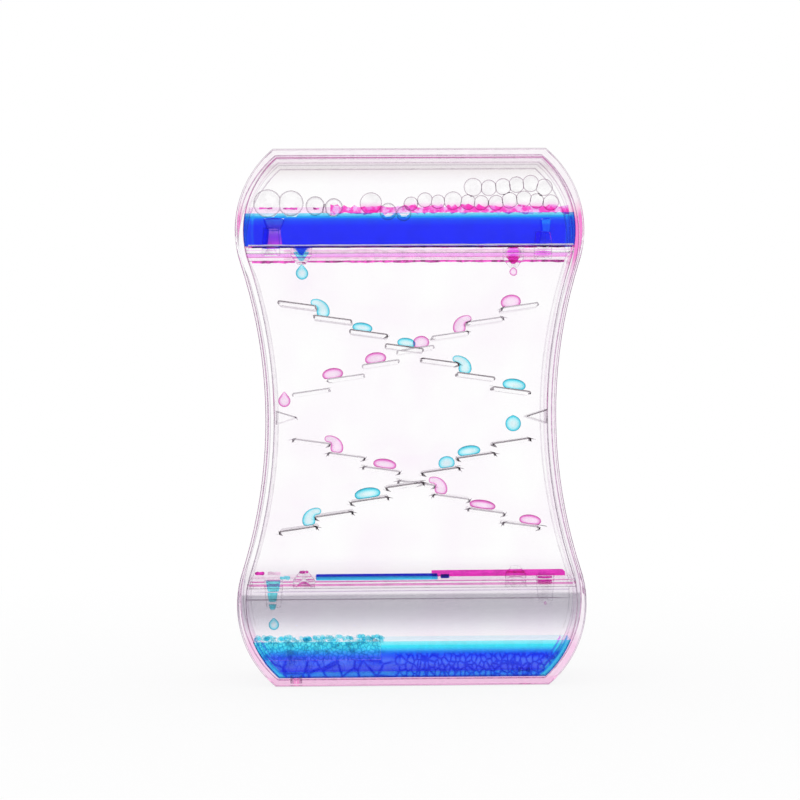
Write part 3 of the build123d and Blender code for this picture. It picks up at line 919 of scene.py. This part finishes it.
for side, bubbles, middle_y, half_length, skin in (
    ("front", front_bubbles, front_middle_y, 6.4, long_skin),
    ("back", back_bubbles, back_middle_y, 2.6, small_skin),
):
    group = []
    for number, (x, z, radius) in enumerate(bubbles):
        bpy.ops.object.select_all(action="DESELECT")
        bpy.ops.mesh.primitive_uv_sphere_add(
            segments=40,
            ring_count=24,
            radius=radius * mm,
            location=(x * mm, middle_y * mm, z * mm),
            rotation=(radians(90), 0, 0),
            scale=(1, 1, max(1, half_length / radius)),
        )
        bubble = bpy.context.object
        bpy.ops.object.transform_apply(location=True, rotation=True, scale=True)
        for other, (x2, z2, radius2) in enumerate(bubbles):
            apart = sqrt((x2 - x) ** 2 + (z2 - z) ** 2)
            if other == number or apart >= radius + radius2 - pressed_in:
                continue
            along = (apart**2 + radius**2 - radius2**2) / (2 * apart) - half_film
            away = ((x2 - x) / apart, 0, (z2 - z) / apart)
            bpy.ops.object.mode_set(mode="EDIT")
            bpy.ops.mesh.select_all(action="SELECT")
            bpy.ops.mesh.bisect(
                plane_co=((x + away[0] * along) * mm, middle_y * mm, (z + away[2] * along) * mm),
                plane_no=away,
                clear_outer=True,
                use_fill=True,
            )
            bpy.ops.object.mode_set(mode="OBJECT")
        group.append(bubble)
    raft = joined(group, f"{side}_bubble_raft")
    bpy.ops.object.mode_set(mode="EDIT")
    bpy.ops.mesh.select_all(action="SELECT")
    bpy.ops.mesh.normals_make_consistent(inside=False)
    bpy.ops.object.mode_set(mode="OBJECT")
    raft.data.materials.append(skin)
    bpy.ops.object.shade_smooth_by_angle(angle=radians(30))
    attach(raft, "casing")
    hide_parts(f"{side}_bubbles")


# Pools on the lower plates
# Thin pools of the dyed water that is left lying on the lower plates. Their fronts are cyan
# and magenta, where they are thin, and small splashes lie about them.
pool_blue = clear_plastic(
    "pool_blue", unbent, clear, clear, heights=[
        (26.3, once(80, 225, 252)),
        (27.0, once(45, 195, 248)),
        (27.15, once(10, 45, 215)),
        (27.3, once(4, 20, 200)),
    ], mottle=0.1,
)
pool_blue_top = even_tint("pool_blue_top", once(5, 25, 205), mottle=0.1)
pool_pink = clear_plastic(
    "pool_pink", unbent, screen(252, 70, 210), screen(245, 50, 200), mottle=0.3, grain=300
)
pool_gap = 0.06 * mm
blue_pool = fitted("blue_pool", "blue_pool_water", pool_gap)
face_tints(blue_pool, pool_blue, water_clear, pool_blue_top, water_clear, blue_ends)
pink_pool = fitted("pink_pool", "pink_pool_water", pool_gap)
pink_pool.data.materials.append(pool_pink)
front_splash_y = -8
back_splash_y = 10
splash_depth = 0.6
for name, left, right, low_z, high_z, y, film, seed in (
    ("blue_pool_blob", 7.4, 9.6, 26.4, 27.5, front_splash_y, dark_blue_film, 10),
    ("blue_splash", -33.4, -30.8, 26.4, 27.2, front_splash_y, cyan_water, 11),
    ("pink_splash_1", -40.5, -38.0, 26.5, 27.3, back_splash_y, magenta_water, 12),
    ("pink_splash_2", -37.2, -33.8, 26.5, 27.3, back_splash_y, pale_pink_film, 13),
    ("pink_splash_3", -29.0, -27.0, 26.5, 27.3, back_splash_y, magenta_water, 14),
):
    film_strip(name, left, right, low_z, high_z, y, splash_depth, film, 3, 0.1, seed)


# Liquids in the lower ends
# The same dyed waters, come to rest. The blue one has a bright cyan band under its surface
# and below it small drops that haven't merged yet, large cells on the left, fine on the right.
def celled_water(name, heights, cells, line, fill, turns_at=None, clean_above=None):
    """Dyed water in cells of (scale, stretch, width of the lines).

    A second kind of cell takes over to the right of turns_at, and there are none above
    clean_above. line and fill are the tints of the cells' edges and of their insides.
    """
    half_turn = 2
    material = clear_plastic(name, unbent, clear, clear, heights=heights, mottle=0.1, grain=500)
    nodes, links = material.node_tree.nodes, material.node_tree.links
    shader = nodes["Principled BSDF"]
    tinted = shader.inputs["Base Color"].links[0].from_socket
    place = nodes.new("ShaderNodeTexCoord")
    patterns = []
    for scale, stretch, reach in cells:
        shape = nodes.new("ShaderNodeMapping")
        shape.inputs["Scale"].default_value = stretch
        links.new(place.outputs["Object"], shape.inputs["Vector"])
        cell = nodes.new("ShaderNodeTexVoronoi")
        cell.feature = "DISTANCE_TO_EDGE"
        cell.inputs["Scale"].default_value = scale
        links.new(shape.outputs["Vector"], cell.inputs["Vector"])
        by_distance = nodes.new("ShaderNodeValToRGB")
        colour_stops(by_distance, [(reach * 0.5, line), (reach, fill), (reach * 2.2, clear)])
        links.new(cell.outputs["Distance"], by_distance.inputs["Fac"])
        patterns.append(by_distance.outputs["Color"])
    pattern = patterns[0]
    if len(patterns) > 1:
        split = nodes.new("ShaderNodeSeparateXYZ")
        links.new(place.outputs["Object"], split.inputs["Vector"])
        side = nodes.new("ShaderNodeMapRange")
        side.inputs["From Min"].default_value = (turns_at - half_turn) * mm
        side.inputs["From Max"].default_value = (turns_at + half_turn) * mm
        links.new(split.outputs["X"], side.inputs["Value"])
        either = nodes.new("ShaderNodeMix")
        either.data_type = "RGBA"
        links.new(side.outputs["Result"], either.inputs["Factor"])
        links.new(patterns[0], either.inputs["A"])
        links.new(patterns[1], either.inputs["B"])
        pattern = either.outputs["Result"]
    celled = multiplied(nodes, links, tinted, pattern)
    if clean_above:
        level = nodes.new("ShaderNodeSeparateXYZ")
        links.new(place.outputs["Object"], level.inputs["Vector"])
        fade = nodes.new("ShaderNodeMapRange")
        fade.inputs["From Min"].default_value = (clean_above - 0.5) * mm
        fade.inputs["From Max"].default_value = (clean_above + 0.2) * mm
        fade.inputs["To Min"].default_value = 1
        fade.inputs["To Max"].default_value = 0
        links.new(level.outputs["Z"], fade.inputs["Value"])
        links.new(fade.outputs["Result"], celled.inputs["Factor"])
    links.new(celled.outputs["Result"], shader.inputs["Base Color"])
    return material


blue_lower_water = celled_water(
    "blue_lower_water",
    [
        (2.0, once(60, 160, 255)),
        (3.9, once(60, 160, 255)),
        (4.5, once(80, 222, 255)),
        (6.3, once(80, 220, 255)),
        (7.2, once(48, 172, 255)),
        (7.8, once(37, 138, 255)),
        (8.5, once(32, 184, 244)),
        (9.2, once(62, 222, 250)),
        (10.2, once(62, 246, 254)),
        (10.9, once(150, 252, 255)),
    ],
    [(250, (1, 0.05, 1), 0.07), (760, (1, 0.05, 0.75), 0.15)],
    (0.06, 0.08, 0.72), (0.3, 0.45, 1.0), -4, 8.3,
)
toward_wall(
    blue_lower_water, lower_round_z, once(70, 235, 252), [(23.3, 0), (23.9, 0.85), (24.6, 0.95)]
)
blue_lower_surface = even_tint("blue_lower_surface", once(232, 252, 255), mottle=0.05)
blue_lower_ends = clear_plastic(
    "blue_lower_ends", unbent, screen(60, 165, 252), screen(232, 253, 255), 0.4, 0.75, mottle=0.1
)
pink_lower_water = clear_plastic(
    "pink_lower_water", unbent, clear, clear, heights=[
        (0, (1, 0.25, 1)),
        (6.0, (1, 0.25, 1)),
        (6.6, (1, 0.93, 1)),
        (9.5, (1, 0.97, 1)),
    ], mottle=0.0,
)
blue_lower_gap = 0.015 * mm
pink_lower_gap = 0.05 * mm
blue_lower = fitted("blue_lower_liquid", "blue_lower_water", blue_lower_gap)
face_tints(
    blue_lower, blue_lower_water, water_clear, blue_lower_surface, water_clear, blue_lower_ends
)
pink_lower = fitted("pink_lower_liquid", "pink_lower_water", pink_lower_gap)
face_tints(
    pink_lower, pink_lower_water, pink_lower_water, water_clear, pink_lower_water, pink_ends
)


# Foam
# Hundreds of small drops of blue water that lie unmerged on the lower left, each in its own
# film of oil: fine cyan ones on top and larger blue ones below, pressed into cells.
foam_water = celled_water(
    "foam_water",
    [
        (6.5, once(90, 205, 255)),
        (7.6, once(60, 190, 250)),
        (8.3, once(60, 225, 250)),
        (10.5, once(95, 245, 253)),
        (12.3, once(170, 250, 255)),
    ],
    [(900, (1, 0.05, 1), 0.13)], (0.06, 0.42, 0.66), (0.5, 0.95, 1.0),
)
foam_top = 11.0 * mm
foam_body = fitted("blue_foam", "foam_body", blue_lower_gap)
activate(foam_body)
bpy.ops.object.mode_set(mode="EDIT")
bpy.ops.mesh.select_all(action="SELECT")
bpy.ops.mesh.bisect(
    plane_co=(0, 0, foam_top), plane_no=(0, 0, 1), clear_outer=True, use_fill=True
)
bpy.ops.object.mode_set(mode="OBJECT")
face_tints(foam_body, foam_water, water_clear, blue_lower_surface, water_clear, blue_lower_ends)
fine_drop = clear_plastic(
    "fine_foam_drop", unbent, clear, screen(110, 208, 232), 0.5, 0.97, heights=[
        (10.8, clear),
        (11.3, screen(190, 250, 255)),
    ], mottle=0.1,
)
cell_drop = clear_plastic("cell_foam_drop", unbent, clear, screen(110, 140, 242), 0.6, 0.97)

# One small drop, squashed and copied to its places, with none through the wall or the top.
end_round_radius = 24.7
wall_gap = 0.3
thickest = 0.5
top_drops_z = 11.3
top_drops_radius = 0.6
cells_top_z = 8.1
bpy.ops.object.select_all(action="DESELECT")
bpy.ops.mesh.primitive_uv_sphere_add(segments=8, ring_count=6, radius=1 * mm, location=(0, 0, 0))
pattern_drop = bpy.context.object
bpy.ops.object.shade_smooth()
spread = random.Random(11)
for kind, material, count, low_z, high_z, small, large, y, right in (
    ("fine", fine_drop, 360, 8.0, 12.4, 0.35, 0.75, -14.35, -7.2),
    ("cell", cell_drop, 46, 3.8, 8.0, 0.9, 1.9, -14.3, -8.6),
):
    group = []
    for number in range(count):
        radius = spread.uniform(small, large)
        z = low_z + (high_z - low_z) * spread.random()
        round_width = sqrt(end_round_radius**2 - (z - lower_round_z) ** 2)
        x = spread.uniform(wall_gap + radius - (end_round_x + round_width), right)
        if z > top_drops_z:
            radius = min(radius, top_drops_radius)
        if kind == "cell":
            z = min(z, cells_top_z - radius)
        drop = bpy.data.objects.new(f"{kind}_drop", pattern_drop.data.copy())
        drop.data.transform(
            Matrix.Translation((x * mm, y * mm, z * mm))
            @ Matrix.Diagonal((radius, min(radius, thickest), radius, 1))
        )
        bpy.context.scene.collection.objects.link(drop)
        group.append(drop)
    foam = joined(group, f"{kind}_foam")
    foam.data.materials.append(material)
    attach(foam, "casing")
bpy.data.objects.remove(pattern_drop)


# Oil
# Clear light mineral oil fills the rest of each chamber. Where its surface in the lower end meets
# the front panel it has a dark grey line of painted shade, and a paler one at the back.
oil_clear = even_tint("oil_clear", clear, 1.0, 0.004, 60)
oil_shade_line = even_tint("oil_shade_line", once(203, 194, 204))
oil_shade_haze = even_tint("oil_shade_haze", once(226, 214, 232), mottle=0.1)
oil_gap = 0.16 * mm
surface_z = 22 * mm
line_radius = 0.3 * mm
line_slot, haze_slot = 1, 2
for side in ("front", "back"):
    oil = fitted(f"{side}_oil", f"{side}_oil_fill", oil_gap)
    add_materials(oil, (oil_clear, oil_shade_line, oil_shade_haze))
    low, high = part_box(f"{side}_oil")
    panel_y = low.y if side == "front" else high.y
    slot = line_slot if side == "front" else haze_slot
    round_edges(
        oil,
        lambda co: at(co.y, panel_y, 0.2 * mm) and at(co.z, surface_z, 0.2 * mm),
        line_radius, slot, 1,
    )


# Drops
# Drops of dyed water on their way down. On a step a drop lies flat on its foot, and where it
# runs over the end of one it hangs bent. Thin ones are pale; the near-white middle is a painted
# highlight and the dark rim painted shade.
drop_tints_and_painted_light = {
    "blue": [
        (0.02, screen(228, 253, 255)),
        (0.2, screen(190, 249, 255)),
        (0.5, screen(85, 222, 242)),
        (0.88, screen(20, 125, 155)),
    ],
    "pink": [
        (0.02, screen(255, 238, 252)),
        (0.2, screen(255, 224, 251)),
        (0.5, screen(240, 135, 214)),
        (0.88, screen(180, 30, 140)),
    ],
}
mesh_width = 0.16 * mm
smoothing_rounds = 22
swelling = 0.07 * mm
for colour, count in (("blue", 12), ("pink", 13)):
    drop_water_and_painted_light = even_tint(f"{colour}_drop_water_and_painted_light", clear, mottle=0.1, grain=300)
    colour_stops(drop_water_and_painted_light.node_tree.nodes["by_view"], drop_tints_and_painted_light[colour])
    for number in range(1, count + 1):
        name = f"{colour}_drop_{number}"
        drop = merged_copy(name, f"{name}_water")
        drop.data.materials.append(drop_water_and_painted_light)
        rebuild = drop.modifiers.new("rebuild", "REMESH")
        rebuild.mode = "VOXEL"
        rebuild.voxel_size = mesh_width
        bpy.ops.object.modifier_apply(modifier=rebuild.name)
        soften = drop.modifiers.new("soften", "SMOOTH")
        soften.factor = 0.5
        soften.iterations = smoothing_rounds
        bpy.ops.object.modifier_apply(modifier=soften.name)
        swell = drop.modifiers.new("swell", "DISPLACE")
        swell.strength = swelling
        swell.mid_level = 0
        bpy.ops.object.modifier_apply(modifier=swell.name)
        bpy.ops.object.shade_smooth()
        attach(drop, name)
        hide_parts(name)
